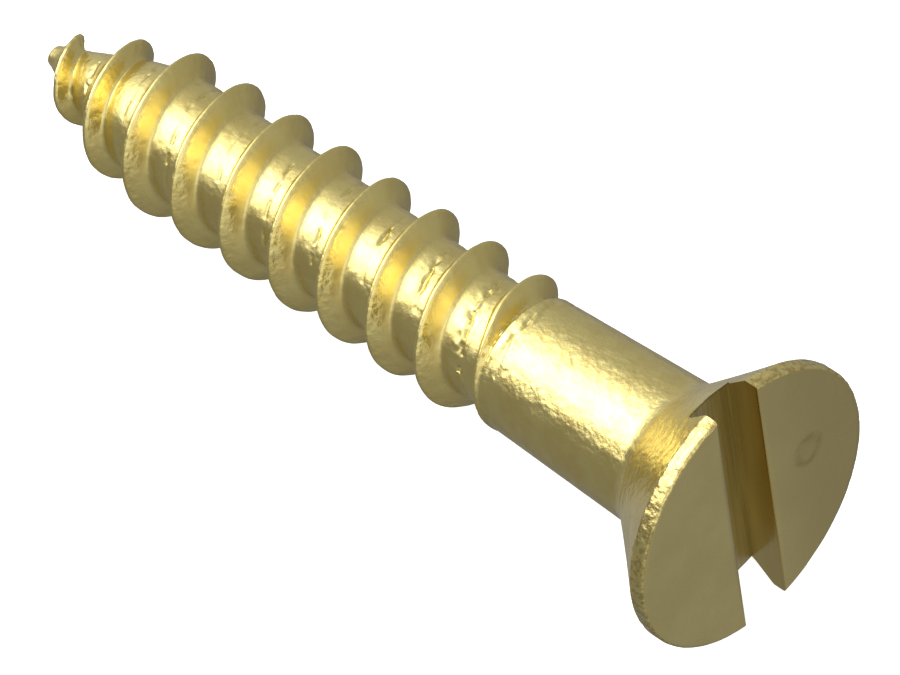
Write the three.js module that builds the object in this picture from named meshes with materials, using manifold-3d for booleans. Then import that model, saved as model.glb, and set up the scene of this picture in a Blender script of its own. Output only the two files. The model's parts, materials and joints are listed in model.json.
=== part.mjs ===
// A slotted countersunk brass wood screw, 1 inch (25.4 mm) long, with an 82 degree head.
// It is one piece of metal: the head and its slot, the plain shank, the rolled thread and the
// gimlet point. It lies at rest on the plane Z = 0, on the two lower corners of its slot and on
// its thread, with the head towards +X and the slot upright.
import * as THREE from "three";
import { mergeVertices } from "three/addons/utils/BufferGeometryUtils.js";
import Module from "manifold-3d";

// Driving dimensions, in millimetres unless a comment says otherwise. Positions along the axis
// are measured from the face of the head, which is at 0, and are negative towards the point.
const overallLength = 25.4;

const headDiameter = 8.24;
const headAngle = 82; // degrees, between opposite sides of the cone
const rimHeight = 0.43; // the plain band round the edge of the head
const rimChamfer = 0.07;
const slotWidth = 1.48;
const slotDepth = 1.12;

const neckDiameter = 4.22; // where the shank meets the cone of the head
const neckFillet = 0.6;
const shankDiameter = 3.8; // where the shank meets the thread
const shankEnd = -7.95;
const shoulderLength = 0.25; // the slope from the shank down to the root of the thread

const rootDiameter = 3.22;
const crestDiameter = 4.4;
const pitch = 1.78;
const flankAngle = 30; // degrees from square to the axis, the same on both sides of the ridge
const crestWidth = 0.07;
const rootFillet = 0.08;
const footAngle = 60; // degrees from square to the axis, where the ridge spreads into the core
const threadEnd = -6.6;
const threadFadeTurns = 1.3; // the ridge sinks into the shank over this part of a turn
const threadPhase = 0.26; // radians, where the helix would cross the face of the head

const pointLength = 4.4;
const pointBulge = 0.75; // 0 is a straight cone
const pointTipRadius = 0.26;
const threadStartFromTip = 0.25;
const threadRiseTurns = 0.25; // the ridge rises out of the point over this part of a turn
const firstRidgeHeight = 0.78; // as a fraction of the full height

const segmentsAround = 48;
const segmentsPerTurn = 24;
const pointSteps = 9;
const neckSteps = 5;
const leastWidth = 0.1; // the ridge never gets narrower than this share of its full width
const buried = 0.15; // how far the ridge reaches into the core, so that the two join
const overhang = 1; // how far the slot's cutter stands out of the head

const rimRadius = headDiameter / 2;
const rootRadius = rootDiameter / 2;
const ridgeHeight = (crestDiameter - rootDiameter) / 2;
const flankSlope = Math.tan(THREE.MathUtils.degToRad(flankAngle));
const footSlope = Math.tan(THREE.MathUtils.degToRad(footAngle));
const coneSlope = Math.tan(THREE.MathUtils.degToRad(headAngle / 2));
const neckPosition = -rimHeight - (rimRadius - neckDiameter / 2) / coneSlope;

const manifold = await Module();
manifold.setup();

// Radius of the core under the thread: a blunt, slightly bulging cone, then a cylinder.
function coreRadiusAt(fromTip) {
  const along = Math.min(fromTip / pointLength, 1);
  const bulging = along + pointBulge * along * along * (1 - along);
  return pointTipRadius + (rootRadius - pointTipRadius) * bulging;
}

function pointOutline(steps) {
  const outline = [];
  for (let step = 0; step <= steps; step += 1) {
    const fromTip = (pointLength * step) / steps;
    outline.push(new THREE.Vector2(coreRadiusAt(fromTip), fromTip - overallLength));
  }
  return outline;
}

function neckOutline(steps) {
  const corner = new THREE.Vector2(neckDiameter / 2, neckPosition);
  const shankTaper = (neckDiameter - shankDiameter) / 2 / (neckPosition - shankEnd);
  const alongShank = new THREE.Vector2(-shankTaper, -1).normalize();
  const alongCone = new THREE.Vector2(coneSlope, 1).normalize();
  return new THREE.QuadraticBezierCurve(
    corner.clone().addScaledVector(alongShank, neckFillet),
    corner,
    corner.clone().addScaledVector(alongCone, neckFillet),
  ).getPoints(steps);
}

// Head, shank and point as one turned solid, with its axis along X.
function turnedCore() {
  const outline = [
    new THREE.Vector2(0, -overallLength),
    ...pointOutline(pointSteps),
    new THREE.Vector2(rootRadius, shankEnd - shoulderLength),
    new THREE.Vector2(shankDiameter / 2, shankEnd),
    ...neckOutline(neckSteps),
    new THREE.Vector2(rimRadius, -rimHeight),
    new THREE.Vector2(rimRadius, -rimChamfer),
    new THREE.Vector2(rimRadius - rimChamfer, 0),
    new THREE.Vector2(0, 0),
  ];
  return new THREE.LatheGeometry(outline, segmentsAround).rotateZ(-Math.PI / 2);
}

// Cross-section of the thread's ridge: across it is along the screw, up is away from the axis.
// Its foot spreads out as it goes into the core, which leaves a small fillet at the root.
function ridgeSection() {
  const halfCrest = crestWidth / 2;
  const halfAboveFillet = halfCrest + (ridgeHeight - rootFillet) * flankSlope;
  const halfFoot = halfAboveFillet + (rootFillet + buried) * footSlope;
  return new THREE.Shape([
    new THREE.Vector2(-halfFoot, -buried),
    new THREE.Vector2(halfFoot, -buried),
    new THREE.Vector2(halfAboveFillet, rootFillet),
    new THREE.Vector2(halfCrest, ridgeHeight),
    new THREE.Vector2(-halfCrest, ridgeHeight),
    new THREE.Vector2(-halfAboveFillet, rootFillet),
  ]);
}

// Size of the ridge at a place on the axis, as a fraction of its full size.
function ridgeScaleAt(position) {
  const fromTip = position + overallLength;
  const rise = Math.min((fromTip - threadStartFromTip) / (threadRiseTurns * pitch), 1);
  const fade = Math.min((threadEnd - position) / (threadFadeTurns * pitch), 1);
  const onPoint = Math.min(fromTip / pointLength, 1);
  const height = firstRidgeHeight + (1 - firstRidgeHeight) * onPoint;
  return Math.max(Math.min(rise, fade) * height, 0);
}

// A straight bar of the ridge's section, wound round the core as a right-handed helix.
function threadRidge() {
  const start = -overallLength + threadStartFromTip;
  const turns = (threadEnd - start) / pitch;
  const steps = Math.ceil(turns * segmentsPerTurn);
  const bar = new THREE.ExtrudeGeometry(ridgeSection(), { depth: 1, steps, bevelEnabled: false });
  const vertices = bar.attributes.position;
  for (let i = 0; i < vertices.count; i += 1) {
    const position = THREE.MathUtils.lerp(start, threadEnd, vertices.getZ(i));
    const turn = (2 * Math.PI * position) / pitch + threadPhase;
    const scale = ridgeScaleAt(position);
    const height = vertices.getY(i) > 0 ? vertices.getY(i) * scale : vertices.getY(i);
    const radius = coreRadiusAt(position + overallLength) + height;
    const along = position + vertices.getX(i) * Math.max(scale, leastWidth);
    vertices.setXYZ(i, along, radius * Math.cos(turn), radius * Math.sin(turn));
  }
  return bar;
}

function slotCutter() {
  const cutter = new THREE.BoxGeometry(slotDepth + overhang, slotWidth, headDiameter + 2 * overhang);
  return cutter.translate((overhang - slotDepth) / 2, 0, 0);
}

function toSolid(geometry) {
  const bare = geometry.clone();
  bare.deleteAttribute("normal");
  bare.deleteAttribute("uv");
  const merged = mergeVertices(bare, 1e-4);
  const vertProperties = new Float32Array(merged.attributes.position.array);
  const triVerts = new Uint32Array(merged.index.array);
  return new manifold.Manifold(new manifold.Mesh({ numProp: 3, vertProperties, triVerts }));
}

function toGeometry(solid) {
  const mesh = solid.getMesh();
  const geometry = new THREE.BufferGeometry();
  geometry.setAttribute("position", new THREE.BufferAttribute(mesh.vertProperties, 3));
  geometry.setIndex(new THREE.BufferAttribute(mesh.triVerts, 1));
  geometry.computeVertexNormals();
  return geometry;
}

// The screw tips about the lower corners of its slot until its thread touches the table.
function restingTilt(geometry) {
  const cornerHeight = -Math.sqrt(rimRadius ** 2 - (slotWidth / 2) ** 2);
  const vertices = geometry.attributes.position;
  let tilt = Math.PI / 2;
  for (let i = 0; i < vertices.count; i += 1) {
    const behindCorner = -rimHeight - vertices.getX(i);
    if (behindCorner > headDiameter) {
      tilt = Math.min(tilt, Math.atan2(vertices.getZ(i) - cornerHeight, behindCorner));
    }
  }
  return tilt;
}

const blank = toSolid(turnedCore()).add(toSolid(threadRidge()));
const screwGeometry = toGeometry(blank.subtract(toSolid(slotCutter())));
screwGeometry.rotateY(-restingTilt(screwGeometry));
screwGeometry.computeBoundingBox();
const box = screwGeometry.boundingBox;
const centre = box.getCenter(new THREE.Vector3());
screwGeometry.translate(-centre.x, 0, -box.min.z);

const brass = new THREE.MeshStandardMaterial({ color: 0xc8a850, roughness: 0.32, metalness: 1 });
const screw = new THREE.Mesh(screwGeometry, brass);
screw.name = "wood_screw";

const group = new THREE.Group();
group.name = "wood_screw_part";
group.add(screw);

export default group;
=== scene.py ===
"""A slotted countersunk brass wood screw, lying on a pale floor under soft studio light.

The real screw is one piece of metal, so one fine mesh stands for the CAD solid. It is made in the
screw's own frame, in millimetres: X runs along the axis towards the head, with 0 at the face and
the point at minus the length, Z runs along the slot, and angles round the axis start at +Y.
The head_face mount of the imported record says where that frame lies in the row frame.
"""
import json
import math

import bmesh
import bpy
import numpy as np
from mathutils import Matrix, Vector


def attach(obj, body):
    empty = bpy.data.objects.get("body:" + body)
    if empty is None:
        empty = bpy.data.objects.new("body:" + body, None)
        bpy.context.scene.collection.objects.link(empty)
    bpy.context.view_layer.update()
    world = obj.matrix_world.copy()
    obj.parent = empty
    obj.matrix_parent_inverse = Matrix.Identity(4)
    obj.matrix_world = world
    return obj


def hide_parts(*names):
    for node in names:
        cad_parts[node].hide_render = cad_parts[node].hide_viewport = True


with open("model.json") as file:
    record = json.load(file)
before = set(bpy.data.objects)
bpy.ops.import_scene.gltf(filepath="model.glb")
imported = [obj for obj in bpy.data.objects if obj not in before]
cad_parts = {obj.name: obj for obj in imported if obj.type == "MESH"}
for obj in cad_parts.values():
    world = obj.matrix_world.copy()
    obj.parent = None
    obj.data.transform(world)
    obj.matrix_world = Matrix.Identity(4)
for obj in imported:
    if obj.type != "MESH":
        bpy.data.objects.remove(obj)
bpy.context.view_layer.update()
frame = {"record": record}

MM = 0.001  # one millimetre, in metres

# Driving dimensions, in millimetres unless a comment says otherwise, as in the CAD model.
LENGTH = 25.4
HEAD_RADIUS = 4.12
CONE_SLOPE = math.tan(math.radians(41))
RIM_HEIGHT = 0.43
RIM_CHAMFER = 0.07
SLOT_HALF_WIDTH = 0.74
SLOT_DEPTH = 1.12
NECK_RADIUS = 2.11
NECK_FILLET = 0.22
CONE_SAG = 0.02  # how far the cone is hollow, half way up
SHANK_RADIUS = 1.9
SHANK_END = -7.95
SHOULDER_LENGTH = 0.25
ROOT_RADIUS = 1.61
RIDGE_HEIGHT = 0.59
PITCH = 1.78
FLANK_RISE = math.tan(math.radians(60))
CREST_HALF_WIDTH = 0.035
CREST_ROUNDING = 0.012
ROOT_FILLET = 0.1
THREAD_START = -LENGTH + 0.25
THREAD_END = -6.6
THREAD_FADE = 1.3 * PITCH
THREAD_RISE = 0.25 * PITCH
THREAD_PHASE = 0.26  # radians
RUN_OUT_DRIFT = 0.13  # how far the last of the crest strays towards the head
FIRST_RIDGE = 0.78  # height of the first ridge, as a share of the full height
POINT_LENGTH = 4.4
POINT_BULGE = 0.75
POINT_TIP_RADIUS = 0.26
POINT_DOME = 0.1
NECK_X = -RIM_HEIGHT - (HEAD_RADIUS - NECK_RADIUS) / CONE_SLOPE

# How finely the mesh is divided.
COLUMNS = 240
CORNER = 52  # columns from +Y to the corner of the slot
MOUTH = COLUMNS // 2 - 2 * CORNER  # columns across the slot
RIDGE_SHARES = np.array([0, 0.08, 0.13, 0.25, 0.5, 0.72, 0.88, 1.0, 1.15])  # from the crest to the foot
ROOT_SHARES = np.array([0.12, 0.26, 0.4, 0.5, 0.56, 0.6, 0.64, 0.68, 0.72, 0.8, 0.9])
SEAM_SHARE = 0.63  # where the torn seam runs, across the flat between two ridges
LEAST_GAP = 0.025

SEAM_PIT_DEPTH = 0.045
SEAM_BURR_HEIGHT = 0.01
SWELL_HEIGHT = 0.0035
TIP_SWELL_HEIGHT = 0.022
DENT_DEPTH = 0.006
NICK_DEPTH = 0.008
SCORE_DEPTH = 0.06
BURR_HEIGHT = 0.07
RIM_EXPOSURE = 1.8  # how much tumbling marks the rim, where 1 is the shank
SCORED_ANGLE = 1.7  # radians: where the scores round the end of the shank are deepest
BATTERED_ANGLE = 3.4  # radians: the side of the thread that tumbling has marked most

BODY, RIM, WALL, FLOOR, FACE = range(5)


# Numbers and noise

def smooth_step(low, high, value):
    t = np.clip((value - low) / (high - low), 0, 1)
    return t * t * (3 - 2 * t)


def smooth_max(a, b, width):
    return np.maximum(a, b) + np.maximum(width - np.abs(a - b), 0) ** 2 / (4 * width)


def lattice_value(cell, seed):
    """A repeatable value from -1 to 1 at each whole-number point, an N by 3 array."""
    h = cell[:, 0] * 374761393 + cell[:, 1] * 668265263 + cell[:, 2] * 1274126177 + seed * 1442695041
    h = (h ^ (h >> 13)) & 0x7FFFFFFF
    h = (h * 1103515245 + 12345) & 0x7FFFFFFF
    h = ((h ^ (h >> 15)) * 1597334677) & 0x7FFFFFFF
    return (h ^ (h >> 11)) % 65536 / 32767.5 - 1


def noise(points, size, seed):
    """Smooth noise from -1 to 1 whose bumps are about size across."""
    scaled = np.asarray(points, float) / size
    base = np.floor(scaled).astype(np.int64)
    t = scaled - base
    t = t * t * t * (t * (6 * t - 15) + 10)
    total = np.zeros(len(scaled))
    for corner in np.ndindex(2, 2, 2):
        weight = np.prod(np.where(corner, t, 1 - t), axis=1)
        total += weight * lattice_value(base + corner, seed)
    return total


def layered_noise(points, size, seed, layers=3):
    total = sum(noise(points, size / 2**i, seed + i) / 2**i for i in range(layers))
    return total / (2 - 2 ** (1 - layers))


# The turned body and its thread

def core_radius(x):
    """Radius of the screw without its thread: point, root, shoulder, shank, neck and cone."""
    from_tip = x + LENGTH
    along = np.clip(from_tip / POINT_LENGTH, 0, 1)
    bulging = along + POINT_BULGE * along**2 * (1 - along)
    root = POINT_TIP_RADIUS + (ROOT_RADIUS - POINT_TIP_RADIUS) * bulging
    dome = np.sqrt(np.clip(1 - (1 - np.clip(from_tip / POINT_DOME, 0, 1)) ** 2, 0, 1))
    taper = (NECK_RADIUS - SHANK_RADIUS) / (NECK_X - SHANK_END)
    shank = SHANK_RADIUS + taper * (x - SHANK_END)
    cone = cone_radius(x)
    plain = smooth_max(shank, cone, NECK_FILLET)
    return root * dome + (plain - root) * smooth_step(SHANK_END - SHOULDER_LENGTH, SHANK_END, x)


def cone_radius(x):
    """Radius of the head's cone, which is slightly hollow between the neck and the rim."""
    up_cone = np.clip((x - NECK_X) / (-RIM_HEIGHT - NECK_X), 0, 1)
    sag = 4 * CONE_SAG * up_cone * (1 - up_cone)
    return HEAD_RADIUS + (x + RIM_HEIGHT) * CONE_SLOPE - sag


def thread_core_radius(x):
    """Radius that the thread's height is measured from, which stays the root's at the shank."""
    return core_radius(np.minimum(x, SHANK_END - SHOULDER_LENGTH))


def crest_places(angle):
    """Where the crest of the thread crosses the column at this angle, from the point up."""
    first = (angle - THREAD_PHASE) / (2 * math.pi) * PITCH
    turns = np.arange(math.ceil((THREAD_START - first) / PITCH), (THREAD_END - first) / PITCH)
    crests = first + turns * PITCH
    return crests + RUN_OUT_DRIFT * smooth_step(SHANK_END - 0.6, SHANK_END - 0.4, crests)


def crest_height(place):
    """Height of the ridge above the root where its crest is at this place."""
    rise = np.clip((place - THREAD_START) / THREAD_RISE, 0, 1)
    fade = np.clip((THREAD_END - place) / THREAD_FADE, 0, 1)
    on_point = np.clip((place + LENGTH) / POINT_LENGTH, 0, 1)
    full = FIRST_RIDGE + (1 - FIRST_RIDGE) * on_point
    along = np.stack([place, np.zeros_like(place), np.zeros_like(place)], axis=1)
    uneven = 1 + 0.03 * layered_noise(along, 0.11, 5)
    return RIDGE_HEIGHT * np.minimum(rise, fade) * full * uneven


def foot_distance(height):
    """How far along the axis a ridge of this height reaches from its crest to its foot."""
    return CREST_HALF_WIDTH + CREST_ROUNDING + height / FLANK_RISE


def surface_radius(x, angle):
    """Radius of the finished body at these places along one column."""
    crests = crest_places(angle)
    top = thread_core_radius(crests) + crest_height(crests)
    past_crest = np.maximum(np.abs(x[:, None] - crests) - CREST_HALF_WIDTH, 0)
    away = np.sqrt(past_crest**2 + CREST_ROUNDING**2) - CREST_ROUNDING
    ridge = np.max(top - away * FLANK_RISE, axis=1)
    return smooth_max(core_radius(x), ridge, ROOT_FILLET)


def ring_places():
    """Places that every column shares: the tip, the shoulder, the shank, the neck and the cone."""
    tip = -LENGTH + np.array([0.008, 0.03, 0.065, 0.1, 0.17, 0.24])
    shoulder = SHANK_END + np.array([-0.32, -0.26, -0.2, -0.125, -0.06, 0.0, 0.06])
    run_out = np.arange(SHANK_END + 0.13, SHANK_END + 1, 0.07)
    shank = np.arange(SHANK_END + 1.08, NECK_X - 0.4, 0.1)
    neck = np.arange(NECK_X - 0.35, NECK_X + 0.36, 0.055)
    cone = np.linspace(NECK_X + 0.43, -SLOT_DEPTH - 0.05, 12)
    return np.concatenate([tip, shoulder, run_out, shank, neck, cone, [-SLOT_DEPTH]])


def column_places(angle, rings):
    """All the places along one column: the shared rings, and those that follow its ridges."""
    crests = crest_places(angle)
    foot = np.maximum(foot_distance(crest_height(crests)), 0.06)
    places = []
    for crest, reach in zip(crests, foot):
        places.extend(crest - RIDGE_SHARES[:0:-1] * reach)
        places.extend(crest + RIDGE_SHARES * reach)
    widest = RIDGE_SHARES[-1]
    for low, high in zip(crests[:-1] + foot[:-1] * widest, crests[1:] - foot[1:] * widest):
        places.extend(low + ROOT_SHARES * (high - low))
    last = crests[-1] + foot[-1] * widest
    places.extend(np.arange(last, max(SHANK_END - 0.3, last), 0.09))
    places = np.array([p for p in places if -LENGTH + 0.03 < p < THREAD_END + 0.1])
    clear = np.min(np.abs(places[:, None] - rings), axis=1) > LEAST_GAP
    return np.sort(np.concatenate([rings, places[clear]]))


class Surface:
    """Points and faces as they are made, with the region that each point belongs to."""

    def __init__(self):
        self.points = []
        self.regions = []
        self.faces = []

    def add(self, points, region):
        first = len(self.points)
        self.points.extend(np.asarray(points, float).reshape(-1, 3).tolist())
        self.regions.extend([region] * (len(self.points) - first))
        return np.arange(first, len(self.points))

    def face(self, *corners):
        kept = [c for i, c in enumerate(corners) if c != corners[i - 1]]
        if len(kept) > 2:
            self.faces.append(tuple(int(c) for c in kept))

    def grid(self, rows):
        """Faces between neighbouring points of a list of equally long rows of indices."""
        for low, high in zip(rows[:-1], rows[1:]):
            for i in range(len(low) - 1):
                self.face(low[i], low[i + 1], high[i + 1], high[i])

    def zip_columns(self, left, right):
        """Triangles between two columns of indices that need not be equally long."""
        a, b = 0, 0
        places = self.points
        while a < len(left) - 1 or b < len(right) - 1:
            if b == len(right) - 1:
                up_left = True
            elif a == len(left) - 1:
                up_left = False
            else:
                up_left = math.dist(places[left[a + 1]], places[right[b]]) < math.dist(
                    places[left[a]], places[right[b + 1]]
                )
            if up_left:
                self.face(left[a], left[a + 1], right[b])
                a += 1
            else:
                self.face(left[a], right[b + 1], right[b])
                b += 1


def polar(x, radius, angle):
    x, radius, angle = np.broadcast_arrays(x, radius, angle)
    return np.stack([x, radius * np.cos(angle), radius * np.sin(angle)], axis=-1)


def make_body(surface):
    """Everything below the floor of the slot. Returns the ring of points at that level."""
    rings = ring_places()
    tip = surface.add([[-LENGTH, 0, 0]], BODY)
    columns = []
    for column in range(COLUMNS):
        angle = 2 * math.pi * column / COLUMNS
        places = column_places(angle, rings)
        points = polar(places, surface_radius(places, angle), angle)
        columns.append(np.concatenate([tip, surface.add(points, BODY)]))
    for left, right in zip(columns, columns[1:] + columns[:1]):
        surface.zip_columns(left, right)
    return np.array([column[-1] for column in columns])


# The slotted head

def head_levels():
    """Places, outer radii and half widths of the slot from its floor up to the face."""
    cone = np.linspace(-SLOT_DEPTH, -RIM_HEIGHT - 0.04, 7)
    rim = np.array([-RIM_HEIGHT, -RIM_HEIGHT + 0.04, -0.31, -0.23, -0.15, -RIM_CHAMFER - 0.02])
    edge = np.array([-0.05, -0.02, 0.0])
    places = np.concatenate([cone, rim, edge])
    radius = np.minimum(cone_radius(places), HEAD_RADIUS)
    radius[len(cone)] -= 0.008
    radius[-3:] -= np.array([0.008, 0.028, RIM_CHAMFER])
    half_width = np.full_like(places, SLOT_HALF_WIDTH)
    half_width[-3:] += np.array([0.002, 0.01, 0.028])
    return places, radius, half_width


def make_half_head(surface, ring, side):
    """The half of the head on one side of the slot: its cone, rim, slot wall and flat face."""
    start = -CORNER if side > 0 else COLUMNS // 2 - CORNER
    arc = np.arange(start, start + 2 * CORNER + 1)
    local = (np.arange(2 * CORNER + 1) - CORNER) / CORNER  # -1 at one corner, 1 at the other
    corner_angle = 2 * math.pi * CORNER / COLUMNS
    along_wall = np.sin(local * corner_angle) / math.sin(corner_angle)
    outside = [ring[arc % COLUMNS]]
    wall = []
    for place, radius, half_width in zip(*head_levels()):
        reach = math.acos(half_width / radius)
        end = math.sqrt(radius**2 - half_width**2)
        if wall:
            angle = local * reach if side > 0 else math.pi + local * reach
            outside.append(surface.add(polar(place, radius, angle), RIM))
        across = side * half_width
        z = side * end * along_wall[1:-1]
        points = np.stack([np.full_like(z, place), np.full_like(z, across), z], axis=1)
        inner = surface.add(points, WALL)
        wall.append(np.concatenate([outside[-1][:1], inner, outside[-1][-1:]]))
    surface.grid(outside)
    surface.grid(wall)
    make_half_face(surface, wall[-1], outside[-1])
    return wall[0]


def make_half_face(surface, chord, arc, steps=22):
    points = np.array(surface.points)
    rows = [chord]
    for share in np.arange(1, steps) / steps:
        between = points[chord] * (1 - share) + points[arc] * share
        inner = surface.add(between[1:-1], FACE)
        rows.append(np.concatenate([chord[:1], inner, chord[-1:]]))
    rows.append(arc)
    surface.grid(rows)


def make_slot_floor(surface, ring, plus_wall, minus_wall):
    """Lines along the slot from one mouth to the other, between the feet of the two walls."""
    points = np.array(surface.points)
    rows = [plus_wall]
    for step in range(1, MOUTH):
        top = ring[CORNER + step]
        bottom = ring[-CORNER - step]
        share = step / MOUTH
        along = points[plus_wall] * (1 - share) + points[minus_wall[::-1]] * share
        low, high = points[bottom, 2], points[top, 2]
        span = (along[:, 2] - along[0, 2]) / (along[-1, 2] - along[0, 2])
        along[:, 2] = low + span * (high - low)
        inner = surface.add(along[1:-1], FLOOR)
        rows.append(np.concatenate([[bottom], inner, [top]]))
    rows.append(minus_wall[::-1])
    surface.grid(rows)


# Wear and faults in the metal

def seam_pits(points, regions):
    """A ragged line of torn pits along the root, worse towards the shank."""
    x = points[:, 0]
    radius = np.hypot(points[:, 1], points[:, 2])
    angle = np.arctan2(points[:, 2], points[:, 1])
    turn = x / PITCH - (angle - THREAD_PHASE) / (2 * math.pi)
    foot = foot_distance(RIDGE_HEIGHT) / PITCH
    share = ((turn % 1) - foot) / (1 - 2 * foot)
    wander = 0.06 * layered_noise(points, 0.5, 21)
    across = (share - SEAM_SHARE - wander) * (1 - 2 * foot) * PITCH
    along = (np.floor(turn) + (angle - THREAD_PHASE) / (2 * math.pi)) * 2 * math.pi * ROOT_RADIUS
    unrolled = np.stack([0.4 * along, across, np.zeros_like(x)], axis=1)
    patches = smooth_step(-0.45, 0.3, layered_noise(points, 1.0, 23, 2))
    worse = smooth_step(-15, SHANK_END - 0.8, x)
    holes = smooth_step(-0.15, 0.35, noise(unrolled, 0.1, 24))
    torn = noise(unrolled, 0.09, 25)
    on_root = (regions == BODY) & (radius < ROOT_RADIUS + 0.25) & (x < SHANK_END + 0.1)
    narrow = np.exp(-((across / (0.05 + 0.05 * worse)) ** 2))
    wide = np.exp(-((across / (0.14 + 0.16 * worse)) ** 2))
    pits = -(SEAM_PIT_DEPTH + 0.03 * worse) * holes * narrow * (0.2 + 0.8 * patches)
    burrs = (SEAM_BURR_HEIGHT + 0.022 * worse) * torn * wide * patches
    return np.where(on_root & (x > -LENGTH + 1.2), pits + burrs, 0)


def tumbled_dents(points, regions):
    """Shallow dents from tumbling with other screws, on the outside only."""
    outside = (regions == BODY) | (regions == RIM)
    at_tip = 1 - smooth_step(-LENGTH + 0.9, -LENGTH + 1.5, points[:, 0])
    swell = SWELL_HEIGHT * layered_noise(points, 0.5, 31)
    tip_swell = TIP_SWELL_HEIGHT * at_tip * layered_noise(points, 0.25, 37)
    dent = DENT_DEPTH * smooth_step(0.5, 0.9, noise(points, 0.22, 34))
    return np.where(outside, swell + tip_swell - dent, 0)


def exposure(points, regions):
    """How much tumbling has marked each place: the rim most, the flanks of the thread least."""
    x = points[:, 0]
    radius = np.hypot(points[:, 1], points[:, 2])
    angle = np.arctan2(points[:, 2], points[:, 1])
    above_root = radius - ROOT_RADIUS
    on_thread = (x < SHANK_END - SHOULDER_LENGTH) & (x > -LENGTH + POINT_LENGTH)
    root = 0.6 * (1 - smooth_step(0.02, 0.12, above_root))
    crest = 0.5 * smooth_step(0.3, 0.55, above_root)
    battered_side = 0.7 * smooth_step(0.1, 0.9, np.cos(angle - BATTERED_ANGLE))
    battered = battered_side * smooth_step(0.1, 0.3, above_root)
    thread = np.minimum(0.05 + root + crest + battered, 1.2)
    marked = np.where(on_thread, thread, np.where(x < SHANK_END, 0.6, 1.0))
    return np.where((regions == RIM) & (x > -RIM_HEIGHT - 0.05), RIM_EXPOSURE, marked)


def rim_nicks(points, regions):
    """Small nicks in the rim band and its two edges."""
    on_rim = (regions == RIM) & (points[:, 0] > -RIM_HEIGHT - 0.06)
    nick = smooth_step(0.15, 0.7, noise(points * [0.6, 1, 1], 0.17, 41))
    return np.where(on_rim, -NICK_DEPTH * nick, 0)


def run_out_scores(points, regions):
    """Score marks round the end of the shank, beside the run-out of the thread."""
    x = points[:, 0]
    zone = smooth_step(SHANK_END - 0.05, SHANK_END + 0.08, x) * (
        1 - smooth_step(SHANK_END + 0.3, SHANK_END + 0.75, x)
    )
    angle = np.arctan2(points[:, 2], points[:, 1])
    deepest = 0.25 + 0.75 * np.exp(-(((angle - SCORED_ANGLE) / 0.55) ** 2))
    slanted = np.stack([x - 0.25 * angle, 0.3 * angle, np.zeros_like(x)], axis=1)
    score = smooth_step(0.0, 0.5, noise(slanted, 0.12, 51))
    return np.where(regions == BODY, -SCORE_DEPTH * deepest * zone * score, 0)


def raise_burr(points, ring):
    """A ragged wire edge where the floor of the slot comes out through the cone at the top."""
    mouth = ring[CORNER : CORNER + MOUTH + 1]
    edge = points[mouth]
    lift = BURR_HEIGHT + 0.04 * noise(edge, 0.2, 61)
    points[mouth] += np.stack([0.4 * lift, np.zeros_like(lift), lift], axis=1)


def make_screw_mesh():
    surface = Surface()
    ring = make_body(surface)
    plus_wall = make_half_head(surface, ring, 1)
    minus_wall = make_half_head(surface, ring, -1)
    make_slot_floor(surface, ring, plus_wall, minus_wall)
    points = np.array(surface.points)
    regions = np.array(surface.regions)
    mesh = bpy.data.meshes.new("screw_metal")
    mesh.from_pydata(points, [], surface.faces)
    face_outwards(mesh)
    normals = np.zeros(len(points) * 3)
    mesh.vertices.foreach_get("normal", normals)
    wear = seam_pits(points, regions) + tumbled_dents(points, regions)
    wear += rim_nicks(points, regions) + run_out_scores(points, regions)
    points += normals.reshape(-1, 3) * wear[:, None]
    raise_burr(points, ring)
    mesh.vertices.foreach_set("co", points.ravel())
    place = mesh.attributes.new("place", "FLOAT_VECTOR", "POINT")
    place.data.foreach_set("vector", points.astype(np.float32).ravel())
    exposed = mesh.attributes.new("exposed", "FLOAT", "POINT")
    exposed.data.foreach_set("value", exposure(points, regions).astype(np.float32))
    paint_regions(mesh, regions)
    mesh.update()
    mesh.set_sharp_from_angle(angle=math.radians(50))
    return mesh


def face_outwards(mesh):
    shell = bmesh.new()
    shell.from_mesh(mesh)
    bmesh.ops.recalc_face_normals(shell, faces=shell.faces)
    shell.to_mesh(mesh)
    shell.free()
    mesh.shade_smooth()
    mesh.update()


def paint_regions(mesh, regions):
    """Each face takes the material of its region: the outside, the slot's walls, its floor, the face."""
    slot_of = np.array([0, 0, 1, 2, 3])
    for polygon in mesh.polygons:
        polygon.material_index = int(max(slot_of[regions[v]] for v in polygon.vertices))


# Brass

def new_material(name, metallic=1.0):
    material = bpy.data.materials.new(name)
    material.use_nodes = True
    nodes = material.node_tree.nodes
    shader = nodes["Principled BSDF"]
    shader.inputs["Metallic"].default_value = metallic
    return material, nodes, material.node_tree.links, shader


def metal_place(nodes, links, stretch=(1, 1, 1)):
    """The point on the screw in its own frame, in millimetres, stretched along its axes."""
    attribute = nodes.new("ShaderNodeAttribute")
    attribute.attribute_name = "place"
    scale = nodes.new("ShaderNodeVectorMath")
    scale.operation = "MULTIPLY"
    scale.inputs[1].default_value = stretch
    links.new(attribute.outputs["Vector"], scale.inputs[0])
    return scale.outputs["Vector"]


def noise_texture(nodes, links, place, size, detail=3.0):
    texture = nodes.new("ShaderNodeTexNoise")
    texture.inputs["Scale"].default_value = 1 / size
    texture.inputs["Detail"].default_value = detail
    links.new(place, texture.inputs["Vector"])
    return texture.outputs["Fac"]


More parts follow.
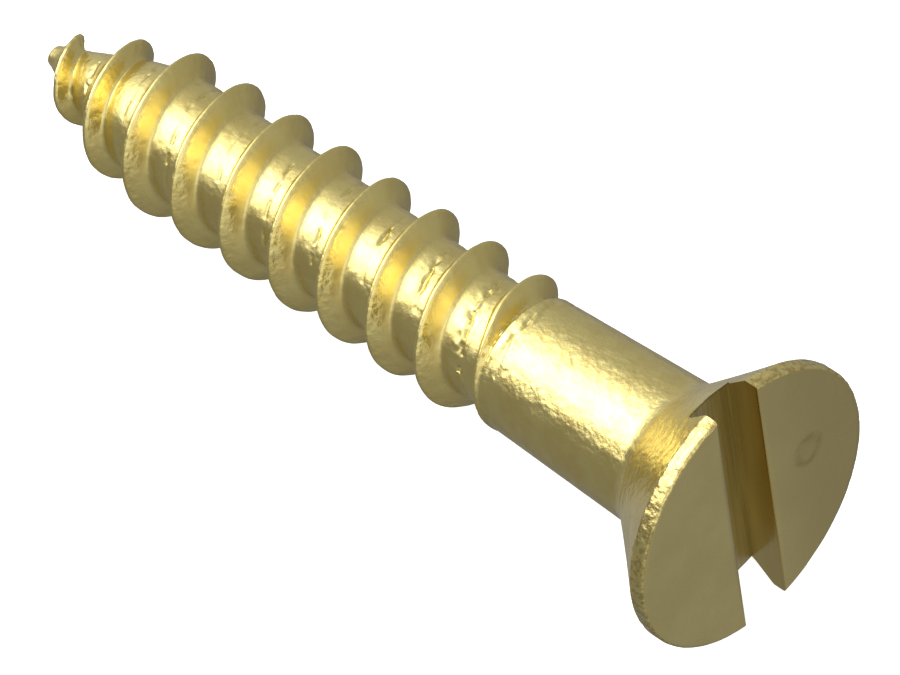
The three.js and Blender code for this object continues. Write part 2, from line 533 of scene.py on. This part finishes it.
def blend_values(nodes, links, factor, low, high, start=0.35, end=0.65):
    """A value, or a colour, that goes from low to high as the factor goes from start to end."""
    spread = nodes.new("ShaderNodeMapRange")
    spread.interpolation_type = "SMOOTHSTEP"
    spread.inputs["From Min"].default_value = start
    spread.inputs["From Max"].default_value = end
    links.new(factor, spread.inputs["Value"])
    if isinstance(low, (int, float)):
        spread.inputs["To Min"].default_value = low
        spread.inputs["To Max"].default_value = high
        return spread.outputs["Result"]
    mix = nodes.new("ShaderNodeMix")
    mix.data_type = "RGBA"
    links.new(spread.outputs["Result"], mix.inputs["Factor"])
    mix.inputs["A"].default_value = low
    mix.inputs["B"].default_value = high
    return mix.outputs["Result"]


def calculate(nodes, links, operation, *values):
    """One step of arithmetic on numbers or on the outputs of other nodes."""
    step = nodes.new("ShaderNodeMath")
    step.operation = operation
    for socket, value in zip(step.inputs, values):
        if isinstance(value, (int, float)):
            socket.default_value = value
        else:
            links.new(value, socket)
    return step.outputs["Value"]


def tint(nodes, links, tone, colour, factor):
    """The tone, turned towards one colour by the factor."""
    mix = nodes.new("ShaderNodeMix")
    mix.data_type = "RGBA"
    links.new(factor, mix.inputs["Factor"])
    links.new(tone, mix.inputs["A"])
    mix.inputs["B"].default_value = colour
    return mix.outputs["Result"]


def exposed_value(nodes):
    """How much tumbling has marked the metal here, as the mesh holds it."""
    attribute = nodes.new("ShaderNodeAttribute")
    attribute.attribute_name = "exposed"
    return attribute.outputs["Fac"]


def add_bump(nodes, links, height, depth, below=None, strength=None):
    """A bump this many millimetres deep, on top of the bump below it. Returns its normal."""
    bump = nodes.new("ShaderNodeBump")
    if strength is not None:
        links.new(strength, bump.inputs["Strength"])
    bump.inputs["Distance"].default_value = depth * MM
    links.new(height, bump.inputs["Height"])
    if below is not None:
        links.new(below, bump.inputs["Normal"])
    return bump.outputs["Normal"]


DARK_PITS = (0.36, 0.23, 0.07, 1)
# Painted shade: the colour the face turns towards +Y, standing in for that half catching less reflected
# light.
PAINTED_SHADE_TONE = (0.6, 0.49, 0.21, 1)
STAIN = (0.46, 0.3, 0.12, 1)


def tumbled_brass():
    """The outside: bright and dimpled, with dark pits on the rim and smoother, duller flanks."""
    material, nodes, links, shader = new_material("brass_tumbled")
    place = metal_place(nodes, links)
    dull, bright = (0.85, 0.69, 0.25, 1), (0.91, 0.77, 0.3, 1)
    tone = blend_values(nodes, links, noise_texture(nodes, links, place, 0.9), dull, bright)
    marked = exposed_value(nodes)
    most_marked = blend_values(nodes, links, marked, 0.0, 0.45, 1.2, 1.7)
    spots = blend_values(nodes, links, noise_texture(nodes, links, place, 0.16), 0.0, 1.0, 0.46, 0.6)
    pits = calculate(nodes, links, "MULTIPLY", most_marked, spots)
    links.new(tint(nodes, links, tone, DARK_PITS, pits), shader.inputs["Base Color"])
    gloss = blend_values(nodes, links, marked, 0.34, 0.21, 0.1, 0.8)
    links.new(gloss, shader.inputs["Roughness"])
    coarse_height = noise_texture(nodes, links, place, 0.3, 1.0)
    coarse = add_bump(nodes, links, coarse_height, 0.03, strength=marked)
    fine_height = noise_texture(nodes, links, place, 0.11, 2.0)
    fine = add_bump(nodes, links, fine_height, 0.012, coarse, marked)
    links.new(fine, shader.inputs["Normal"])
    return material


STAIN_CENTRE = Vector((0, 2.17, 0.32))  # millimetres, on the face
STAIN_RADIUS = 0.42
STAIN_EDGE = 0.2  # how far the ring fades to either side
STAIN_STRENGTH = 0.6


def ring_mark(nodes, links, place):
    """A faint and blotchy ring on the face, as a factor."""
    from_centre = nodes.new("ShaderNodeVectorMath")
    from_centre.operation = "DISTANCE"
    from_centre.inputs[1].default_value = STAIN_CENTRE
    links.new(place, from_centre.inputs[0])
    away = from_centre.outputs["Value"]
    inside, outside = STAIN_RADIUS - STAIN_EDGE, STAIN_RADIUS + STAIN_EDGE
    inner = blend_values(nodes, links, away, 0.3, 1.0, inside, STAIN_RADIUS)
    outer = blend_values(nodes, links, away, 1.0, 0.0, STAIN_RADIUS, outside)
    blotches = blend_values(nodes, links, noise_texture(nodes, links, place, 0.3), 0.2, STAIN_STRENGTH)
    ring = calculate(nodes, links, "MULTIPLY", inner, outer)
    return calculate(nodes, links, "MULTIPLY", ring, blotches)


def faced_brass():
    """The flat face: smoother, with painted shade darkening it towards +Y, and a faint stain."""
    material, nodes, links, shader = new_material("brass_faced")
    place = metal_place(nodes, links)
    dull, bright = (0.76, 0.64, 0.27, 1), (0.81, 0.69, 0.3, 1)
    tone = blend_values(nodes, links, noise_texture(nodes, links, place, 1.6), dull, bright)
    across = nodes.new("ShaderNodeSeparateXYZ")
    links.new(place, across.inputs["Vector"])
    # Painted shade: the base colour darkens towards +Y, standing in for that half of the face catching
    # less reflected light.
    painted_shade = blend_values(nodes, links, across.outputs["Y"], 0.0, 0.8, -0.5, 3.0)
    tone = tint(nodes, links, tone, PAINTED_SHADE_TONE, painted_shade)
    tone = tint(nodes, links, tone, STAIN, ring_mark(nodes, links, place))
    links.new(tone, shader.inputs["Base Color"])
    gloss = blend_values(nodes, links, noise_texture(nodes, links, place, 0.5), 0.22, 0.3)
    links.new(gloss, shader.inputs["Roughness"])
    wave = add_bump(nodes, links, noise_texture(nodes, links, place, 0.5), 0.003)
    links.new(wave, shader.inputs["Normal"])
    return material


def sawn_brass(name, dark, light, roughness, depth):
    """Cut by the saw: streaks and fine grooves run along the slot."""
    material, nodes, links, shader = new_material(name)
    along = metal_place(nodes, links, (1, 1, 0.03))
    streaks = noise_texture(nodes, links, along, 0.16, 3.0)
    links.new(blend_values(nodes, links, streaks, dark, light), shader.inputs["Base Color"])
    shader.inputs["Roughness"].default_value = roughness
    grooves = add_bump(nodes, links, streaks, depth)
    links.new(grooves, shader.inputs["Normal"])
    return material


def slot_wall_brass():
    dark, light = (0.73, 0.57, 0.21, 1), (0.78, 0.62, 0.24, 1)
    return sawn_brass("brass_slot_wall", dark, light, roughness=0.22, depth=0.003)


def slot_floor_brass():
    dark, light = (0.46, 0.39, 0.18, 1), (0.65, 0.56, 0.28, 1)
    return sawn_brass("brass_slot_floor", dark, light, roughness=0.3, depth=0.008)


# The scene round the screw

def screw_to_row():
    """The matrix from the screw's frame, in millimetres, to the row frame, in metres."""
    mounts = {mount["name"]: mount for mount in frame["record"]["mounts"]}
    axis = Vector(mounts["head_face"]["axis"]).normalized()
    centre = Vector(mounts["head_face"]["pos_m"])
    centre.y = 0
    side = Vector((0, 1, 0))
    along_slot = axis.cross(side)
    turn = Matrix((axis, side, along_slot)).transposed().to_4x4()
    return Matrix.Translation(centre) @ turn @ Matrix.Scale(MM, 4)


def make_screw():
    mesh = make_screw_mesh()
    mesh.transform(screw_to_row())
    mesh.update()
    screw = bpy.data.objects.new("screw_body", mesh)
    bpy.context.scene.collection.objects.link(screw)
    for material in (tumbled_brass(), slot_wall_brass(), slot_floor_brass(), faced_brass()):
        mesh.materials.append(material)
    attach(screw, "root")
    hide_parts("wood_screw")
    return screw


CAMERA_AZIMUTH = 46.256  # degrees
CAMERA_ELEVATION = 52.603
CAMERA_ROLL = -3.685
CAMERA_DISTANCE = 384.39
CAMERA_LENS = 590.6
CAMERA_AIM = Vector((2.1087, -0.4027, 2.6726))


def make_camera():
    azimuth, elevation, roll = map(math.radians, (CAMERA_AZIMUTH, CAMERA_ELEVATION, CAMERA_ROLL))
    back = Vector(
        (
            math.sin(azimuth) * math.cos(elevation),
            -math.cos(azimuth) * math.cos(elevation),
            math.sin(elevation),
        )
    )
    level = Vector((math.cos(azimuth), math.sin(azimuth), 0))
    right = level * math.cos(roll) + back.cross(level) * math.sin(roll)
    data = bpy.data.cameras.new("camera")
    data.lens = CAMERA_LENS
    data.clip_start = 10 * MM
    data.clip_end = 5
    camera = bpy.data.objects.new("camera", data)
    bpy.context.scene.collection.objects.link(camera)
    turn = Matrix((right, back.cross(right), back)).transposed().to_4x4()
    place = (CAMERA_AIM + back * CAMERA_DISTANCE) * MM
    camera.matrix_world = Matrix.Translation(place) @ turn
    bpy.context.scene.camera = camera


def make_floor():
    data = bpy.data.meshes.new("floor")
    half = 3.0
    corners = [(-half, -half, 0), (half, -half, 0), (half, half, 0), (-half, half, 0)]
    data.from_pydata(corners, [], [(0, 1, 2, 3)])
    floor = bpy.data.objects.new("floor", data)
    bpy.context.scene.collection.objects.link(floor)
    material, nodes, links, shader = new_material("pale_floor", metallic=0.0)
    shader.inputs["Base Color"].default_value = (0.9, 0.9, 0.9, 1)
    shader.inputs["Roughness"].default_value = 1.0
    shader.inputs["Emission Color"].default_value = (1, 1, 1, 1)
    shader.inputs["Emission Strength"].default_value = 0.75
    data.materials.append(material)
    floor.visible_glossy = False
    floor.visible_diffuse = False


# The studio: how bright it is in each direction. Directions are in the row frame.
HORIZON = (-0.26, 0.2)  # sine of the height over which the ground fades into the sky
SKY_UP = Vector((-0.075, 0.388, 0.919))
GROUND_GLOW = 0.24
SKY_GLOW = 0.33
SKY_LAMPS = (  # direction, brightness and sharpness; these two stop at the horizon
    (Vector((-0.669, -0.333, 0.665)), 3.0, 9.0),
    (Vector((-0.669, -0.333, 0.665)), 0.5, 2.5),
)
FILL_LAMPS = (  # these shine from below the horizon too
    (Vector((0.773, -0.353, 0.527)), 0.8, 4.5),
    (Vector((0.596, 0.423, -0.685)), 0.1, 4.0),
    (Vector((-0.79, 0.32, -0.52)), 0.22, 8.0),
    (Vector((-0.146, 0.364, -0.920)), -0.12, 4.0),  # the ground that the screw itself shades
)


def make_world():
    """Soft studio light: a dim ground, a brighter sky and a few wide lamps. The camera sees white."""
    world = bpy.data.worlds.new("studio")
    bpy.context.scene.world = world
    world.use_nodes = True
    nodes, links = world.node_tree.nodes, world.node_tree.links
    direction = nodes.new("ShaderNodeTexCoord").outputs["Generated"]

    def facing(target):
        dot = nodes.new("ShaderNodeVectorMath")
        dot.operation = "DOT_PRODUCT"
        dot.inputs[1].default_value = target.normalized()
        links.new(direction, dot.inputs[0])
        return dot.outputs["Value"]

    def sums(operation, *values):
        return calculate(nodes, links, operation, *values)

    def glow_of(lamps):
        total = 0.0
        for target, brightness, sharpness in lamps:
            falloff = sums("MULTIPLY_ADD", facing(target), sharpness, -sharpness)
            glow = sums("MULTIPLY", sums("EXPONENT", falloff), brightness)
            total = sums("ADD", total, glow)
        return total

    above = blend_values(nodes, links, facing(SKY_UP), 0.0, 1.0, *HORIZON)
    sky = sums("MULTIPLY", glow_of(SKY_LAMPS), above)
    base = sums("MULTIPLY_ADD", above, SKY_GLOW - GROUND_GLOW, GROUND_GLOW)
    total = sums("ADD", sums("ADD", base, sky), glow_of(FILL_LAMPS))
    seen = nodes.new("ShaderNodeLightPath").outputs["Is Camera Ray"]
    strength = sums("MAXIMUM", total, seen)
    links.new(strength, nodes["Background"].inputs["Strength"])
    nodes["Background"].inputs["Color"].default_value = (1, 1, 1, 1)


make_camera()
make_screw()
make_floor()
make_world()
bpy.context.scene.view_settings.view_transform = "Standard"
